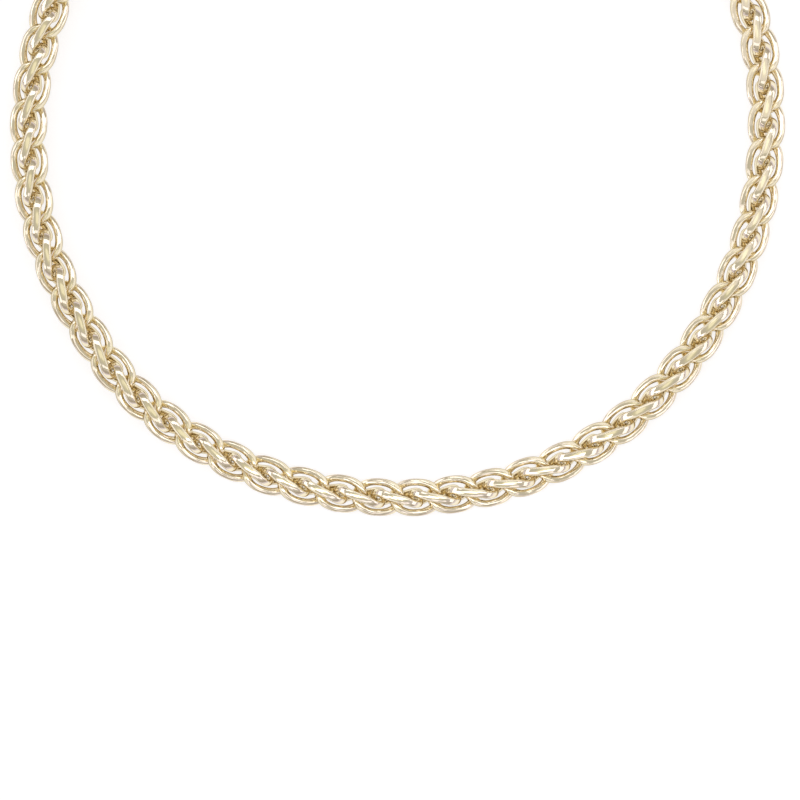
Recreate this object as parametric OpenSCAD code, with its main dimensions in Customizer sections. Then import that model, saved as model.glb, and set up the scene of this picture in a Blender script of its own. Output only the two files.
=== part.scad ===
// Wheat chain, closed as a necklace and lying flat.
// Two rows of twisted oval links lie turned a quarter turn to each other. Each link passes
// through the next three, so the ends of the links stack up along the middle of the chain.
// The loop lies in X and Y, its front middle towards -Y and its clasp towards +Y.
// All lengths are in millimetres and all angles in degrees.

/* [Chain] */
// Length of the closed necklace along its middle line
necklace_length = 406.4; // [350:0.4:620]
// Width of the chain over its two outer rows of links
chain_width = 6.5; // [6:0.1:9]
// Turn of the whole chain about its own middle line
chain_roll = 4; // [-12:1:12]

/* [Link wire] */
// Thickness of the link wire, from the outside of a link to its inside
wire_thickness = 1.15; // [0.8:0.01:1.6]
// Width of the link wire, across its flats
wire_width = 1.5; // [1:0.01:2.2]
// Width of the flat along the outside and the inside of the wire
wire_flat = 0.9; // [0.4:0.01:1]

/* [Link form] */
// Free gap between the ends of links where they stack along the chain
link_clearance = 0.5; // [0.3:0.01:0.8]
// Twist of each end of a link against its middle
end_twist = 48; // [44:1:56]
// Share of the twist that comes close to the ends
late_twist = 0.5; // [0:0.05:1]
// Roundness of the oval: 1 is an ellipse, less is fuller at the corners
oval_power = 0.8; // [0.7:0.05:1]

/* [Clasp] */
// Length of the clasp between the middles of the outer wires of its two eyes
clasp_length = 17.6; // [14:0.1:26]
// Diameter of the clasp's barrel
clasp_diameter = 6; // [4:0.1:8]
// Radius of the rounding at each end of the barrel
clasp_round = 1.4; // [0.4:0.1:1.5]
// Free room round the last link's wire in a clasp eye
eye_slack = 0.6; // [0.3:0.05:1.2]

/* [Hidden] */

// Where the chain strays from a true circle. Each row is an angle from the front middle,
// positive towards +X, and a step inwards as a share of the chain width.
step_angle = 15;
sway_rows = [
  [-180, 0], [-165, 0], [-150, 0], [-135, 0.01], [-120, 0.03], [-105, 0.06],
  [-90, 0.016], [-75, -0.013], [-60, -0.003], [-45, -0.067], [-30, -0.016], [-15, 0.037],
  [0, 0.056], [15, 0.005], [30, -0.021], [45, -0.013], [60, 0.019], [75, 0.032],
  [90, 0.011], [105, -0.06], [120, -0.03], [135, 0], [150, 0], [165, 0], [180, 0]
];

// The link's middle line: half its length and half its width.
end_step = wire_thickness + link_clearance;
pitch = 4 * end_step;
link_step = pitch / 2;
half_long = (pitch + end_step) / 2;
half_wide = (chain_width - wire_thickness) / 2;

// A link is drawn with this many stations round it and this many sides to its wire.
stations = 10;
half_station = 180 / stations;
corner_scale = pow(cos(half_station), oval_power);

// The clasp's eyes are of the same wire as the links.
eye_hole = norm([wire_thickness, wire_width]) + 2 * eye_slack;
eye_radius = (eye_hole + wire_thickness) / 2;
eye_place = half_long - end_step;

// The count of links follows from the length that the clasp leaves.
half_count = round((necklace_length - clasp_length - 2 * eye_place) / link_step / 2);
loop_length = 2 * half_count * link_step + 2 * eye_place + clasp_length;
loop_radius = loop_length / 2 / PI;
eye_angle = (half_count * link_step + eye_place) / loop_radius * 180 / PI;

// The chain lies on its lowest links.
rest_height = (half_wide + wire_thickness / 2) * cos(chain_roll) + wire_flat / 2 * abs(sin(chain_roll));

function signed_power(v, p) = sign(v) * pow(abs(v), p);

function sway_at(i) = sway_rows[min(max(i, 0), len(sway_rows) - 1)][1] * chain_width;

// A smooth curve through the rows of the sway.
function sway_blend(p, q, r, s, f) =
  q + f * ((r - p) / 2 + f * (p - 2.5 * q + 2 * r - s / 2 + f * (1.5 * (q - r) + (s - p) / 2)));
function sway(angle) =
  let (u = (angle + 180) / step_angle, i = floor(u))
  sway_blend(sway_at(i - 1), sway_at(i), sway_at(i + 1), sway_at(i + 2), u - i);

// The origin is half way between the front of the chain and the back of the clasp.
front_reach = loop_radius - sway(0) + chain_width / 2;
back_reach = clasp_diameter / 2 - loop_radius * cos(eye_angle);
loop_middle = (front_reach - back_reach) / 2;

// Where the chain's middle line is at an angle from the front middle.
function route_point(angle) =
  let (r = loop_radius - sway(angle))
  [r * sin(angle), loop_middle - r * cos(angle), rest_height];

// Along, inwards and up: the directions in which a link is placed.
function along_at(angle) =
  let (d = route_point(angle + 0.5) - route_point(angle - 0.5))
  d / norm(d);
function inward_at(angle) =
  let (a = along_at(angle))
  [-a[1], a[0], 0];

// One station of a link: place along the chain, distance from its middle and turn.
function link_along(s) = half_long / corner_scale * signed_power(cos(s), oval_power);
function link_out(s) = half_wide * signed_power(sin(s), oval_power);
function link_turn(s) =
  let (u = link_along(s) / half_long)
  end_twist * ((1 - late_twist) * u + late_twist * pow(u, 3));
function link_point(s) =
  let (r = link_out(s), t = link_turn(s))
  [link_along(s), r * cos(t), r * sin(t)];

// The wire's section at a station, turned to the link's outside.
function outside_flat(s) =
  let (
    dx = link_along(s + 0.05) - link_along(s - 0.05),
    dr = link_out(s + 0.05) - link_out(s - 0.05),
    t = link_turn(s),
    side = sign(dr * link_along(s) - dx * link_out(s))
  )
  side * [dr, -dx * cos(t), -dx * sin(t)];
function outside_at(s) =
  let (
    w = link_point(s + 0.05) - link_point(s - 0.05),
    wire = w / norm(w),
    o = outside_flat(s),
    n = o - (o * wire) * wire
  )
  n / norm(n);
function across_at(s) =
  let (w = link_point(s + 0.05) - link_point(s - 0.05))
  cross(w / norm(w), outside_at(s));

section = [
  [wire_thickness / 2, wire_flat / 2],
  [0, wire_width / 2],
  [-wire_thickness / 2, wire_flat / 2],
  [-wire_thickness / 2, -wire_flat / 2],
  [0, -wire_width / 2],
  [wire_thickness / 2, -wire_flat / 2]
];
sides = len(section);

link_corners = [
  for (i = [0 : stations - 1])
    let (s = (i + 0.5) * 360 / stations)
    for (p = section)
      link_point(s) + p[0] * outside_at(s) + p[1] * across_at(s)
];
link_faces = [
  for (i = [0 : stations - 1])
    for (j = [0 : sides - 1])
      let (
        a = i * sides + j,
        b = i * sides + (j + 1) % sides,
        c = (i + 1) % stations * sides + (j + 1) % sides,
        d = (i + 1) % stations * sides + j
      )
      for (f = [[a, c, b], [a, d, c]])
        f
];

// One link at its count from the front middle. Every other one is turned a quarter turn.
module chain_link(count) {
  angle = count * link_step / loop_radius * 180 / PI;
  turn = chain_roll + 90 * ((abs(count) + 1) % 2);
  place = route_point(angle);
  x = along_at(angle);
  y = inward_at(angle);
  multmatrix([
    [x[0], y[0], 0, place[0]],
    [x[1], y[1], 0, place[1]],
    [0, 0, 1, place[2]],
    [0, 0, 0, 1]
  ])
    rotate([turn, 0, 0])
      polyhedron(points = link_corners, faces = link_faces, convexity = 6);
}

// The half of the chain to the left of the front middle, with the middle link.
module chain_left() {
  color([0.85, 0.66, 0.36])
    for (count = [-half_count : 0])
      chain_link(count);
}

// The half of the chain to the right of the front middle.
module chain_right() {
  color([0.9, 0.74, 0.45])
    for (count = [1 : half_count])
      chain_link(count);
}

// One eye of the clasp, round the last link's end.
module clasp_eye(turn) {
  rotate([turn, 0, 0])
    rotate_extrude()
      translate([eye_radius, 0])
        circle(d = wire_thickness);
}

// The barrel between the eyes, with rounded ends.
module clasp_barrel(half_barrel) {
  corner = min(clasp_round, clasp_diameter / 4);
  rotate([0, 90, 0])
    rotate_extrude() {
      translate([0, -half_barrel])
        square([clasp_diameter / 2 - corner, 2 * half_barrel]);
      translate([0, -half_barrel + corner])
        square([clasp_diameter / 2, 2 * (half_barrel - corner)]);
      for (end = [-1, 1])
        translate([clasp_diameter / 2 - corner, end * (half_barrel - corner)])
          circle(r = corner);
    }
}

// The clasp at the back of the neck: one plain barrel with an eye at each end. Each eye lies
// square to the end of the link that it holds.
module clasp() {
  eye_wire = route_point(eye_angle);
  half_clasp = abs(eye_wire[0]);
  last_turn = chain_roll + 90 * ((half_count + 1) % 2);
  color([0.8, 0.6, 0.3])
    translate([0, eye_wire[1], rest_height]) {
      clasp_barrel(half_clasp - 2 * eye_radius);
      translate([half_clasp - eye_radius, 0, 0])
        clasp_eye(270 - last_turn - end_twist);
      translate([eye_radius - half_clasp, 0, 0])
        clasp_eye(90 - last_turn + end_twist);
    }
}

chain_left();
chain_right();
clasp();
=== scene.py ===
"""Wheat chain, closed as a necklace and lying flat, in polished pale gold.

The loop lies in X and Y, its front middle towards -Y and its clasp towards +Y, and the
camera looks straight down on it. The chain's and the camera's values are in millimetres
and degrees, and become metres where a mesh or the camera is made. Those of the floor and
the lights are in metres, and so are the depths of the finish.
"""
import math

import bmesh
import bpy
import numpy as np
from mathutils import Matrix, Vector


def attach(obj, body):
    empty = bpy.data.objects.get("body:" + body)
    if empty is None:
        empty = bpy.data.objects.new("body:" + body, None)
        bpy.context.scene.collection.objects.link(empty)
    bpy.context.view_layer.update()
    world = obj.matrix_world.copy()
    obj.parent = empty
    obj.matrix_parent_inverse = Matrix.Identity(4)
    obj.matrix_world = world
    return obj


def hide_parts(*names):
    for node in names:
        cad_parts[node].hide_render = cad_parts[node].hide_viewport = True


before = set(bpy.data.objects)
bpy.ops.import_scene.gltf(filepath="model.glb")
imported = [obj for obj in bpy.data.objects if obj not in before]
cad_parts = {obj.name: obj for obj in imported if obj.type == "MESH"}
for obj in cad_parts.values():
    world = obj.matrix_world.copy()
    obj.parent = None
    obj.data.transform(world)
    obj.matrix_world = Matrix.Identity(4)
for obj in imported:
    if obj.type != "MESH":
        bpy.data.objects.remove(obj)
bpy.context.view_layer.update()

MILLIMETRE = 0.001        # in metres

# The chain's sizes, to which the links and the clasp of the CAD model are built
NECKLACE_LENGTH = 406.4
CHAIN_WIDTH = 6.5
CHAIN_ROLL = 4.0
WIRE_THICKNESS = 1.15
WIRE_WIDTH = 1.5
WIRE_FLAT = 0.9
LINK_CLEARANCE = 0.5
END_TWIST = 48.0
LATE_TWIST = 0.5
CLASP_LENGTH = 17.6
CLASP_DIAMETER = 6.0
CLASP_ROUND = 1.4
EYE_SLACK = 0.6

END_STEP = WIRE_THICKNESS + LINK_CLEARANCE
PITCH = 4 * END_STEP
LINK_STEP = PITCH / 2
HALF_LONG = (PITCH + END_STEP) / 2
HALF_WIDE = (CHAIN_WIDTH - WIRE_THICKNESS) / 2
EYE_HOLE = math.hypot(WIRE_THICKNESS, WIRE_WIDTH) + 2 * EYE_SLACK
EYE_RADIUS = (EYE_HOLE + WIRE_THICKNESS) / 2
EYE_PLACE = HALF_LONG - END_STEP
HALF_COUNT = round((NECKLACE_LENGTH - CLASP_LENGTH - 2 * EYE_PLACE) / LINK_STEP / 2)
LOOP_LENGTH = 2 * HALF_COUNT * LINK_STEP + 2 * EYE_PLACE + CLASP_LENGTH
LOOP_RADIUS = LOOP_LENGTH / 2 / math.pi
EYE_ANGLE = math.degrees((HALF_COUNT * LINK_STEP + EYE_PLACE) / LOOP_RADIUS)
REST_HEIGHT = ((HALF_WIDE + WIRE_THICKNESS / 2) * math.cos(math.radians(CHAIN_ROLL))
               + WIRE_FLAT / 2 * math.sin(math.radians(CHAIN_ROLL)))

# How far the lying chain strays inwards from a true circle, as a share of its width, every
# fifteen degrees from the back middle, round by the left and the front.
SWAY_STEP = 15.0
SWAY_SHARE = np.array([
    0, 0, 0, 0.01, 0.03, 0.06, 0.016, -0.013, -0.003, -0.067, -0.016, 0.037,
    0.056, 0.005, -0.021, -0.013, 0.019, 0.032, 0.011, -0.06, -0.03, 0, 0, 0, 0])

# The visible surfaces

# The smooth wire is a little fuller than the CAD model's, so the chain lies a little higher.
SKIN_THICKNESS, SKIN_WIDTH = 1.24, 1.50
SKIN_LIFT = 0.03
OVAL_POWER = 0.87         # roundness of a link's oval: 1 is an ellipse, and 0.8 is the CAD's
FLAT_LEAN = 13.0          # how far the crowned flat of the wire leans over at its edges
EDGE_LEAN = 52.0          # where the rounded edge meets the wire's narrow side
EDGE_ROUND = 0.25         # radius of the wire's rounded edges

# Rows of faces round a link, and faces round its wire on each flat, edge and narrow side.
WIRE_STATIONS = 64
FLAT_FACES, EDGE_FACES, SIDE_FACES = 2, 3, 4
WIRE_SIDES = 2 * FLAT_FACES + 4 * EDGE_FACES + 2 * SIDE_FACES
FINE_STEPS = 6000         # steps by which a link's length is measured
SMALL_TURN = 2e-3         # step to either side, in radians, that gives the wire's run
ROUTE_SPAN = 0.5          # step to either side that gives the chain's run

# The distances from the chain's middle line at which a link's skin has no painted shade and is
# fully polished, and has full painted shade and no polish at all; the same for how far it
# faces outwards.
OPEN_REACH, CLOSED_REACH = 2.1, 1.2
OPEN_FACING, CLOSED_FACING = 0.1, -0.5

# How far a link lies off its even turn and off its even place along the chain, at most.
HAND_TURN = 1.6
HAND_SHIFT = 0.04
HAND_SEED = 58

# The drawn marks of each link start this much further on than those of the link before, and
# the rounded wire's girth is this share of a plain oblong's.
MARKS_SHIFT = 7.3
GIRTH_SHARE = 0.9

# The camera's view
VIEW_MIDDLE = (0.47, -47.1)     # from the loop's middle
VIEW_WIDTH = 139.7
VIEW_HEIGHT = 1300.0


def sway(angle):
    """The step inwards at an angle: a cubic from each row to the next, with the slope at a
    row taken from the rows on either side of it."""
    place = (np.asarray(angle, float) + 180) / SWAY_STEP
    row = np.floor(place).astype(int)
    part = place - row
    last = len(SWAY_SHARE) - 1
    before, here, ahead, after = (SWAY_SHARE[np.clip(row + step, 0, last)] * CHAIN_WIDTH
                                  for step in (-1, 0, 1, 2))
    slope = (ahead - before) / 2
    bend = before - 2.5 * here + 2 * ahead - after / 2
    curl = 1.5 * (here - ahead) + (after - before) / 2
    return here + part * (slope + part * (bend + part * curl))


FRONT_REACH = LOOP_RADIUS - float(sway(0)) + CHAIN_WIDTH / 2
BACK_REACH = CLASP_DIAMETER / 2 - LOOP_RADIUS * math.cos(math.radians(EYE_ANGLE))
LOOP_MIDDLE = (FRONT_REACH - BACK_REACH) / 2


def route_point(angle):
    """The chain's middle line: a circle less its sway, at the height it lies at."""
    radius = LOOP_RADIUS - sway(angle)
    turn = np.radians(angle)
    height = radius * 0 + REST_HEIGHT + SKIN_LIFT
    return np.stack([radius * np.sin(turn), LOOP_MIDDLE - radius * np.cos(turn), height], -1)


def signed_power(value, power):
    """The size of each value raised to a power, with the value's own sign."""
    return np.sign(value) * np.abs(value) ** power


def link_line(place):
    """A link's middle line at a place round it, from nought to a whole turn: a full oval (a
    power of the cosine along and of the sine outwards), twisted about its long axis by an
    angle that grows towards its ends."""
    along = HALF_LONG * signed_power(np.cos(place), OVAL_POWER)
    out = HALF_WIDE * signed_power(np.sin(place), OVAL_POWER)
    share = along / HALF_LONG
    turn = np.radians(END_TWIST) * ((1 - LATE_TWIST) * share + LATE_TWIST * share ** 3)
    return along, out, turn


def link_point(place):
    """The same middle line as points: along, and outwards at the angle of the twist."""
    along, out, turn = link_line(place)
    return np.stack([along, out * np.cos(turn), out * np.sin(turn)], -1)


def unit(vectors):
    """Each vector divided by its length."""
    return vectors / np.linalg.norm(vectors, axis=-1, keepdims=True)


def wire_section():
    """The wire's section, as the lean of its surface at each corner and the corner's place
    through the thickness and across the width. It is made of arcs: a shallow crown on each
    flat, a tight round at each edge and a fuller round on each narrow side. The crowns'
    radii are those that give the wire its thickness and its width."""
    start, stop = np.radians([FLAT_LEAN, EDGE_LEAN])
    crowns = np.array([[np.sin(start), 1 - np.sin(stop)], [1 - np.cos(start), np.cos(stop)]])
    left_over = [SKIN_WIDTH / 2 - EDGE_ROUND * (np.sin(stop) - np.sin(start)),
                 SKIN_THICKNESS / 2 - EDGE_ROUND * (np.cos(start) - np.cos(stop))]
    flat_radius, side_radius = np.linalg.solve(crowns, left_over)
    quarter = np.concatenate([np.linspace(0, start, FLAT_FACES // 2 + 1)[:-1],
                              np.linspace(start, stop, EDGE_FACES + 1)[:-1],
                              np.linspace(stop, np.pi / 2, SIDE_FACES // 2 + 1)[:-1]])
    flat, side = np.minimum(quarter, start), np.maximum(quarter, stop)
    edge = np.clip(quarter, start, stop)
    wide = (flat_radius * np.sin(flat) + EDGE_ROUND * (np.sin(edge) - np.sin(start))
            + side_radius * (np.sin(side) - np.sin(stop)))
    drop = (flat_radius * (1 - np.cos(flat)) + EDGE_ROUND * (np.cos(start) - np.cos(edge))
            + side_radius * (np.cos(stop) - np.cos(side)))
    thick = SKIN_THICKNESS / 2 - drop
    end = [[np.pi / 2], [0.0], [SKIN_WIDTH / 2]]
    first = np.concatenate([[quarter, thick, wide], end], axis=1)
    second = np.stack([np.pi - quarter, -thick, wide])[:, ::-1]
    half = np.concatenate([first, second[:, :-1]], axis=1)
    other = half * [[1], [-1], [-1]] + [[np.pi], [0], [0]]
    return np.concatenate([half, other], axis=1)


def link_surface():
    """A link's skin on a grid of wire stations by sides, with the way that it faces. The
    stations are evenly spaced along the oval, and at each the section's flat is turned to
    the link's outside. The skin faces square to the wire's run and to the section."""
    dense = np.linspace(0, 2 * np.pi, FINE_STEPS + 1)
    steps = np.linalg.norm(np.diff(link_point(dense), axis=0), axis=1)
    length = np.concatenate([[0], np.cumsum(steps)])
    place = np.interp(np.linspace(0, length[-1], WIRE_STATIONS, endpoint=False), length, dense)
    wire = unit(link_point(place + SMALL_TURN) - link_point(place - SMALL_TURN))
    along_after, out_after, _ = link_line(place + SMALL_TURN)
    along_before, out_before, _ = link_line(place - SMALL_TURN)
    along, out, turn = link_line(place)
    flat_along, flat_out = out_after - out_before, along_before - along_after
    side = np.sign(flat_along * along + flat_out * out)
    outside = np.stack([flat_along, flat_out * np.cos(turn), flat_out * np.sin(turn)], -1)
    outside = outside * side[:, None]
    outside = unit(outside - (outside * wire).sum(-1, keepdims=True) * wire)
    across = np.cross(wire, outside)
    lean, thick, wide = wire_section()
    skin = (link_point(place)[:, None] + outside[:, None] * thick[None, :, None]
            + across[:, None] * wide[None, :, None])
    run = np.roll(skin, -1, axis=0) - np.roll(skin, 1, axis=0)
    round_wire = (across[:, None] * np.cos(lean)[None, :, None]
                  - outside[:, None] * np.sin(lean)[None, :, None])
    normal = unit(np.cross(run, round_wire))
    straight_out = (outside[:, None] * np.cos(lean)[None, :, None]
                    + across[:, None] * np.sin(lean)[None, :, None])
    normal *= np.sign((normal * straight_out).sum(-1, keepdims=True))
    return skin, normal, length[-1]


def recess_shade_and_dullness(skin, normal):
    """The painted recess shade, and the extra dullness, at each point of a link's skin, from 0
    to 1:
    greatest near the chain's middle line, or facing it, by smooth steps of the distance and of
    the cosine of the angle between the skin's facing and the way outwards."""
    reach = np.hypot(skin[..., 1], skin[..., 2])
    facing = (normal[..., 1] * skin[..., 1] + normal[..., 2] * skin[..., 2]) / reach
    near = np.clip((OPEN_REACH - reach) / (OPEN_REACH - CLOSED_REACH), 0, 1)
    turned_in = np.clip((OPEN_FACING - facing) / (OPEN_FACING - CLOSED_FACING), 0, 1)
    most = np.maximum(near, turned_in)
    return most * most * (3 - 2 * most)


def turned(angles):
    """One matrix for each angle: a turn about the link's long axis."""
    cosine, sine = np.cos(np.radians(angles)), np.sin(np.radians(angles))
    turns = np.zeros((len(angles), 3, 3))
    turns[:, 0, 0] = 1
    turns[:, 1, 1], turns[:, 1, 2] = cosine, -sine
    turns[:, 2, 1], turns[:, 2, 2] = sine, cosine
    return turns


def placed_links(counts, skin, facing):
    """One link's skin and the way it faces, carried to the links at these counts from the
    front middle. Each is turned about its long axis, every other one by a quarter turn more,
    and set along the route. A hand-laid chain isn't quite even, so each link is off by a
    little, the same each time."""
    uneven = np.random.default_rng(HAND_SEED)
    off = uneven.uniform(-1, 1, (2 * HALF_COUNT + 1, 2))[counts + HALF_COUNT]
    shift = off[:, 0] * HAND_SHIFT
    angle = np.degrees((counts * LINK_STEP + shift) / LOOP_RADIUS)
    turn = CHAIN_ROLL + 90.0 * ((np.abs(counts) + 1) % 2) + off[:, 1] * HAND_TURN
    along = unit(route_point(angle + ROUTE_SPAN) - route_point(angle - ROUTE_SPAN))
    inward = np.stack([-along[:, 1], along[:, 0], along[:, 2] * 0], -1)
    up = np.zeros_like(along)
    up[:, 2] = 1
    way = np.stack([along, inward, up], -1) @ turned(turn)
    points = np.einsum("nij,abj->nabi", way, skin) + route_point(angle)[:, None, None]
    return points, np.einsum("nij,abj->nabi", way, facing)


def ring_faces(rows, columns, first):
    """Four-sided faces over a grid that closes on itself both ways."""
    row = np.arange(rows)[:, None] * columns
    column = np.arange(columns)[None, :]
    next_row = (row + columns) % (rows * columns)
    next_column = (column + 1) % columns
    corners = [row + column, row + next_column, next_row + next_column, next_row + column]
    return np.stack(corners, -1).reshape(-1, 4) + first


def make_piece(name, points, faces, marks):
    """A mesh from whole arrays: points in millimetres, four-sided faces, and for each corner
    of a face its place along and round the wire, in millimetres, as the UV map."""
    mesh = bpy.data.meshes.new(name)
    mesh.vertices.add(len(points))
    mesh.vertices.foreach_set("co", (points * MILLIMETRE).astype(np.float32).ravel())
    mesh.loops.add(faces.size)
    mesh.loops.foreach_set("vertex_index", faces.ravel().astype(np.int32))
    mesh.polygons.add(len(faces))
    mesh.polygons.foreach_set("loop_start", np.arange(0, faces.size, 4, dtype=np.int32))
    mesh.polygons.foreach_set("loop_total", np.full(len(faces), 4, dtype=np.int32))
    mesh.polygons.foreach_set("use_smooth", np.ones(len(faces), dtype=bool))
    mesh.update(calc_edges=True)
    mesh.validate()
    layer = mesh.uv_layers.new(name="wire")
    layer.data.foreach_set("uv", marks.astype(np.float32).ravel())
    piece = bpy.data.objects.new(name, mesh)
    bpy.context.scene.collection.objects.link(piece)
    return piece


def wire_marks(rows, columns, row_length, column_length):
    """Each face corner's place along and round the wire. The last row and column run on past
    the seam instead of back to nothing."""
    row = np.arange(rows)[:, None] + np.zeros((1, columns))
    column = np.arange(columns)[None, :] + np.zeros((rows, 1))
    along = np.stack([row, row, row + 1, row + 1], -1) * row_length / rows
    around = np.stack([column, column + 1, column + 1, column], -1) * column_length / columns
    return np.stack([along, around], -1).reshape(-1, 2)


def make_chain(name, counts):
    """One half of the chain: all its links' skins in one mesh, each moved and turned into its
    place from the one link surface."""
    skin, facing, wire_length = link_surface()
    points, placed_facing = placed_links(counts, skin, facing)
    each = WIRE_STATIONS * WIRE_SIDES
    faces = np.concatenate([ring_faces(WIRE_STATIONS, WIRE_SIDES, link * each)
                            for link in range(len(counts))])
    girth = 2 * (WIRE_THICKNESS + WIRE_WIDTH) * GIRTH_SHARE
    one = wire_marks(WIRE_STATIONS, WIRE_SIDES, wire_length, girth)
    marks = np.tile(one, (len(counts), 1))
    marks[:, 0] += np.repeat(counts * MARKS_SHIFT, len(one))
    piece = make_piece(name, points.reshape(-1, 3), faces, marks)
    piece.data.normals_split_custom_set_from_vertices(placed_facing.reshape(-1, 3).tolist())
    # Painted shade in the recesses, and their extra dullness, carried as a point attribute.
    shade_and_dullness = piece.data.attributes.new("recess_shade_and_dullness", "FLOAT", "POINT")
    share = np.tile(recess_shade_and_dullness(skin, facing).ravel(), len(counts))
    shade_and_dullness.data.foreach_set("value", share.astype(np.float32))
    return piece


# The clasp
EYE_STATIONS = 64         # rows of faces round an eye
EYE_SIDES = 20            # and round its wire
BARREL_SIDES = 96
CORNER_ROWS = 12          # rows of points round each rounded corner of the barrel
SIDE_ROWS = 7             # and along its side
END_RINGS = np.array([0.03, 0.3, 0.6, 0.85])  # rings on its flat ends, as shares of the end


def eye_skin(turn, middle):
    """One eye: a ring of round wire, carried round a circle, turned about X and set at its
    middle."""
    round_eye = np.linspace(0, 2 * np.pi, EYE_STATIONS, endpoint=False)[:, None]
    round_wire = np.linspace(0, 2 * np.pi, EYE_SIDES, endpoint=False)[None, :]
    reach = EYE_RADIUS + WIRE_THICKNESS / 2 * np.cos(round_wire)
    ring = np.stack([reach * np.cos(round_eye), reach * np.sin(round_eye),
                     WIRE_THICKNESS / 2 * np.sin(round_wire) + 0 * round_eye], -1)
    return ring @ turned(np.array([turn]))[0].T + middle


def barrel_skin(half_barrel):
    """The barrel: a profile turned about X. It runs from one end's middle out along a flat
    end, round a quarter circle, along the side and back in at the other end."""
    corner = min(CLASP_ROUND, CLASP_DIAMETER / 4)
    lean = np.linspace(0, np.pi / 2, CORNER_ROWS)
    flat = END_RINGS * (CLASP_DIAMETER / 2 - corner)
    out = np.concatenate([flat, CLASP_DIAMETER / 2 - corner + corner * np.sin(lean)])
    along = np.concatenate([flat * 0 - half_barrel,
                            -half_barrel + corner - corner * np.cos(lean)])
    side = np.linspace(-half_barrel + corner, half_barrel - corner, SIDE_ROWS + 2)[1:-1]
    out = np.concatenate([out, side * 0 + CLASP_DIAMETER / 2, out[::-1]])
    along = np.concatenate([along, side, -along[::-1]])
    around = np.linspace(0, 2 * np.pi, BARREL_SIDES, endpoint=False)
    return np.stack([along[:, None] + 0 * around, out[:, None] * np.cos(around),
                     out[:, None] * np.sin(around)], -1)


def make_clasp():
    """The plain barrel with an eye at each end, each in line with the link end it holds."""
    wire_place = route_point(np.array([EYE_ANGLE]))[0]
    half_clasp = abs(wire_place[0])
    last_turn = CHAIN_ROLL + 90 * ((HALF_COUNT + 1) % 2)
    middle = np.array([0, wire_place[1], REST_HEIGHT])
    reach = np.array([half_clasp - EYE_RADIUS, 0, 0])
    barrel = barrel_skin(half_clasp - 2 * EYE_RADIUS) + middle
    eyes = [eye_skin(270 - last_turn - END_TWIST, middle + reach),
            eye_skin(90 - last_turn + END_TWIST, middle - reach)]
    # The barrel is open, so the faces that would join its last row to its first are left out.
    barrel_faces = ring_faces(len(barrel), BARREL_SIDES, 0)[:-BARREL_SIDES]
    points = [barrel.reshape(-1, 3)]
    faces = [barrel_faces[:, ::-1]]
    marks = [np.zeros((barrel_faces.size, 2))]
    first = len(points[0])
    for eye in eyes:
        points.append(eye.reshape(-1, 3))
        faces.append(ring_faces(EYE_STATIONS, EYE_SIDES, first))
        marks.append(wire_marks(EYE_STATIONS, EYE_SIDES, 2 * math.pi * EYE_RADIUS,
                                math.pi * WIRE_THICKNESS))
        first += EYE_STATIONS * EYE_SIDES
    piece = make_piece("clasp_skin", np.concatenate(points), np.concatenate(faces),
                       np.concatenate(marks))
    close_ends(piece)
    return piece


def close_ends(piece):
    """Fills the small hole at each end of the barrel and turns all faces outwards."""
    shell = bmesh.new()
    shell.from_mesh(piece.data)
    rims = [edge for edge in shell.edges if edge.is_boundary]
    bmesh.ops.holes_fill(shell, edges=rims, sides=0)
    bmesh.ops.recalc_face_normals(shell, faces=shell.faces)
    for face in shell.faces:
        face.smooth = True
    shell.to_mesh(piece.data)
    shell.free()


# The finish
DEEPER_GOLD, PALER_GOLD = (0.865, 0.785, 0.56, 1), (0.89, 0.812, 0.61, 1)
SLANT_TINT = (0.55, 0.5, 0.45, 1)        # tint of the gold where it is seen at a slant
PAINTED_RECESS_SHADE = (1.0, 0.955, 0.88, 1)      # painted shade, by which the gold is darker in the recesses
POLISHED, HANDLED = 0.04, 0.10           # roughness at the least and most handled places
RECESS_ROUGHNESS = 0.06                  # and what the recesses add to it
CLOUD_LOW, CLOUD_HIGH = 0.3, 0.7         # span of the noise that moves colour and gloss
CLOUD_SCALE, CLOUD_DETAIL = 260.0, 3.0
DRAWN_STRETCH = (0.07, 2.8, 1.0)         # drawn marks per millimetre along and round the wire
DRAWN_DETAIL, DRAWN_DEPTH = 2.0, 0.00008
WAVE_SCALE, WAVE_DETAIL, WAVE_DEPTH = 650.0, 1.0, 0.00003


def soft_noise(tree, coordinates, scale, detail):
    """Soft noise over the given coordinates, and its value's output."""
    noise = tree.nodes.new("ShaderNodeTexNoise")
    noise.inputs["Scale"].default_value = scale
    noise.inputs["Detail"].default_value = detail
    tree.links.new(coordinates, noise.inputs["Vector"])
    return noise.outputs["Fac"]


def relief(tree, height, depth):
    """Relief of a depth in metres by the given height."""
    bump = tree.nodes.new("ShaderNodeBump")
    bump.inputs["Distance"].default_value = depth
    tree.links.new(height, bump.inputs["Height"])
    return bump


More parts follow.
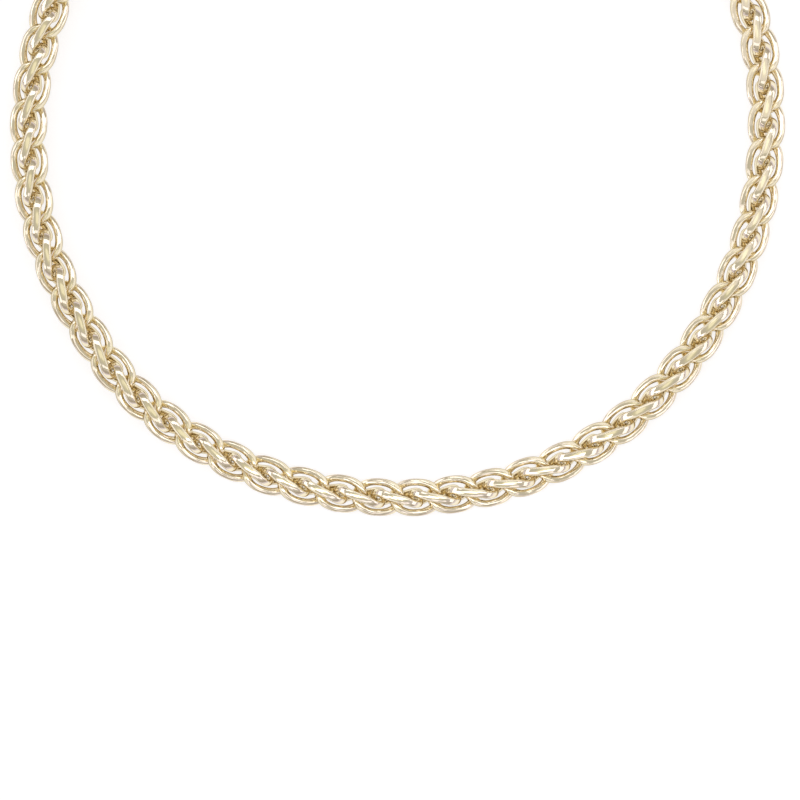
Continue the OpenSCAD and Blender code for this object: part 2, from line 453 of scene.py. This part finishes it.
def polished_gold():
    """Pale yellow gold with a jeweller's polish. Broad soft noise moves its colour and gloss a
    little, as handling does, fine marks of the draw plate run along the wire over a faint
    waviness, and in the recesses the gold is duller and darkened by painted shade."""
    gold = bpy.data.materials.new("polished_pale_gold")
    gold.use_nodes = True
    tree = gold.node_tree
    nodes, links = tree.nodes, tree.links
    shader = nodes["Principled BSDF"]
    shader.inputs["Metallic"].default_value = 1.0
    shader.inputs["Specular Tint"].default_value = SLANT_TINT
    place = nodes.new("ShaderNodeTexCoord")
    shade_and_dullness = nodes.new("ShaderNodeAttribute")
    shade_and_dullness.attribute_name = "recess_shade_and_dullness"

    cloud = soft_noise(tree, place.outputs["Object"], CLOUD_SCALE, CLOUD_DETAIL)
    tint = nodes.new("ShaderNodeValToRGB")
    ends = tint.color_ramp.elements
    ends[0].position, ends[0].color = CLOUD_LOW, DEEPER_GOLD
    ends[1].position, ends[1].color = CLOUD_HIGH, PALER_GOLD
    links.new(cloud, tint.inputs["Fac"])
    # Painted shade: the gold's colour is multiplied darker where the recess mask is high.
    paint_recess_shade = nodes.new("ShaderNodeMix")
    paint_recess_shade.data_type = "RGBA"
    paint_recess_shade.blend_type = "MULTIPLY"
    paint_recess_shade.inputs["B"].default_value = PAINTED_RECESS_SHADE
    links.new(shade_and_dullness.outputs["Fac"], paint_recess_shade.inputs["Factor"])
    links.new(tint.outputs["Color"], paint_recess_shade.inputs["A"])
    links.new(paint_recess_shade.outputs["Result"], shader.inputs["Base Color"])

    gloss = nodes.new("ShaderNodeMapRange")
    gloss.inputs["From Min"].default_value = CLOUD_LOW
    gloss.inputs["From Max"].default_value = CLOUD_HIGH
    gloss.inputs["To Min"].default_value = POLISHED
    gloss.inputs["To Max"].default_value = HANDLED
    links.new(cloud, gloss.inputs["Value"])
    dull = nodes.new("ShaderNodeMath")
    dull.operation = "MULTIPLY_ADD"
    dull.inputs[1].default_value = RECESS_ROUGHNESS
    links.new(shade_and_dullness.outputs["Fac"], dull.inputs[0])
    links.new(gloss.outputs["Result"], dull.inputs[2])
    links.new(dull.outputs["Value"], shader.inputs["Roughness"])

    stretch = nodes.new("ShaderNodeMapping")
    stretch.inputs["Scale"].default_value = DRAWN_STRETCH
    links.new(place.outputs["UV"], stretch.inputs["Vector"])
    drawn = soft_noise(tree, stretch.outputs["Vector"], 1.0, DRAWN_DETAIL)
    wave = soft_noise(tree, place.outputs["Object"], WAVE_SCALE, WAVE_DETAIL)
    grooves = relief(tree, drawn, DRAWN_DEPTH)
    waves = relief(tree, wave, WAVE_DEPTH)
    links.new(grooves.outputs["Normal"], waves.inputs["Normal"])
    links.new(waves.outputs["Normal"], shader.inputs["Normal"])
    return gold


# The pieces
gold = polished_gold()
left = make_chain("chain_left_skin", np.arange(-HALF_COUNT, 1))
right = make_chain("chain_right_skin", np.arange(1, HALF_COUNT + 1))
clasp = make_clasp()
for piece, node in ((left, "chain_left"), (right, "chain_right"), (clasp, "clasp")):
    piece.data.materials.append(gold)
    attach(piece, "root")
    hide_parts(node)


# Floor, light and camera

TABLE_HALF = 3.0          # half the sheet's side, in metres
TABLE_SHADE = (0.45, 0.45, 0.45, 1)
TABLE_ROUGHNESS, TABLE_SHEEN, TABLE_GLOW = 0.9, 0.1, 0.68

# The room's glow by the sine of the height above the horizon, from level to straight
# overhead: pale lilac walls, a dim band of brown above them, a grey ceiling and a warm lamp.
ROOM_STEPS = [
    (0.0, (0.86, 0.80, 1.00, 1)),
    (0.16, (0.78, 0.73, 0.92, 1)),
    (0.22, (0.45, 0.40, 0.385, 1)),
    (0.44, (0.45, 0.40, 0.385, 1)),
    (0.52, (0.58, 0.55, 0.53, 1)),
    (0.86, (0.58, 0.555, 0.53, 1)),
    (0.955, (0.68, 0.65, 0.54, 1)),
    (0.98, (1.00, 0.965, 0.83, 1)),
    (1.0, (1.00, 0.965, 0.83, 1)),
]

# Each soft light's name, place and size in metres, glow, colour and aim. Those with no aim
# hang level close above the chain, and the windows stand far off on its four sides.
CHAIN_FRONT = (0.0, -0.03, 0.0)
LIGHTS = [
    ("front_strip", (0.004, -0.0640, 0.035), (0.080, 0.0085), 1.5, (0.98, 0.97, 1.16), None),
    ("right_panel", (0.052, 0.010, 0.060), (0.096, 0.080), 0.26, (1.0, 0.94, 1.16), None),
    ("cool_panel", (0.008, -0.0880, 0.035), (0.090, 0.024), 0.10, (0.25, 0.10, 1.0), None),
    ("left_window", (-0.66, -0.03, 0.36), (1.20, 0.30), 1.15, (0.98, 0.97, 1.18), CHAIN_FRONT),
    ("right_window", (0.66, -0.03, 0.36), (1.20, 0.30), 0.95, (0.98, 0.95, 1.20), CHAIN_FRONT),
    ("back_window", (0, 0.46, 0.58), (1.00, 0.22), 1.15, (0.98, 0.98, 1.18), CHAIN_FRONT),
    ("front_window", (0, -0.52, 0.58), (0.80, 0.16), 0.7, (0.98, 0.96, 1.18), CHAIN_FRONT),
]

CHIP_WIDTH = 36.0         # the camera's, in its own millimetres
CLEAR_VIEW = 20.0         # how far the camera sees, in metres


def make_floor():
    """A wide white sheet under the chain, lit a little from inside as a light table is."""
    half = TABLE_HALF
    mesh = bpy.data.meshes.new("white_table")
    mesh.from_pydata([(-half, -half, 0), (half, -half, 0), (half, half, 0), (-half, half, 0)],
                     [], [(0, 1, 2, 3)])
    floor = bpy.data.objects.new("white_table", mesh)
    bpy.context.scene.collection.objects.link(floor)
    white = bpy.data.materials.new("white_sheet")
    white.use_nodes = True
    shader = white.node_tree.nodes["Principled BSDF"]
    shader.inputs["Base Color"].default_value = TABLE_SHADE
    shader.inputs["Roughness"].default_value = TABLE_ROUGHNESS
    shader.inputs["Specular IOR Level"].default_value = TABLE_SHEEN
    shader.inputs["Emission Color"].default_value = (1, 1, 1, 1)
    shader.inputs["Emission Strength"].default_value = TABLE_GLOW
    floor.data.materials.append(white)


def make_room():
    """The pale room that the gold mirrors, which glows by the height of each direction: bright
    at the sides, dimmer above and brightest straight overhead."""
    room = bpy.data.worlds.new("pale_room")
    bpy.context.scene.world = room
    room.use_nodes = True
    nodes, links = room.node_tree.nodes, room.node_tree.links
    glow = nodes["Background"]
    place = nodes.new("ShaderNodeTexCoord")
    parts = nodes.new("ShaderNodeSeparateXYZ")
    links.new(place.outputs["Generated"], parts.inputs[0])
    rise = nodes.new("ShaderNodeValToRGB")
    steps = rise.color_ramp.elements
    steps[0].position, steps[0].color = ROOM_STEPS[0]
    steps[1].position, steps[1].color = ROOM_STEPS[-1]
    for at, shade in ROOM_STEPS[1:-1]:
        steps.new(at).color = shade
    links.new(parts.outputs["Z"], rise.inputs["Fac"])
    links.new(rise.outputs["Color"], glow.inputs["Color"])
    glow.inputs["Strength"].default_value = 1.0


def soft_box(name, place, size, glow, colour, aim):
    """An oblong soft light that hangs level, or is turned to its aim. Its power is its area
    times its glow times pi, so that the glow is how bright it looks from the front."""
    light = bpy.data.lights.new(name, "AREA")
    light.shape = "RECTANGLE"
    light.size, light.size_y = size
    light.energy = glow * math.pi * size[0] * size[1]
    light.color = colour
    lamp = bpy.data.objects.new(name, light)
    lamp.location = place
    if aim is not None:
        lamp.rotation_euler = (Vector(aim) - Vector(place)).to_track_quat("-Z", "Y").to_euler()
    lamp.visible_camera = False
    bpy.context.scene.collection.objects.link(lamp)


def make_camera():
    """The camera looks straight down from its height, with a lens that takes in the view's
    width at the height of the chain's middle line."""
    lens = bpy.data.cameras.new("camera")
    lens.sensor_width = CHIP_WIDTH
    lens.lens = CHIP_WIDTH * (VIEW_HEIGHT - REST_HEIGHT) / VIEW_WIDTH
    lens.clip_end = CLEAR_VIEW
    camera = bpy.data.objects.new("camera", lens)
    place = np.array([VIEW_MIDDLE[0], VIEW_MIDDLE[1] + LOOP_MIDDLE, VIEW_HEIGHT])
    camera.location = place * MILLIMETRE
    bpy.context.scene.collection.objects.link(camera)
    bpy.context.scene.camera = camera
    bpy.context.scene.view_settings.view_transform = "Standard"


make_floor()
make_room()
for light in LIGHTS:
    soft_box(*light)
make_camera()
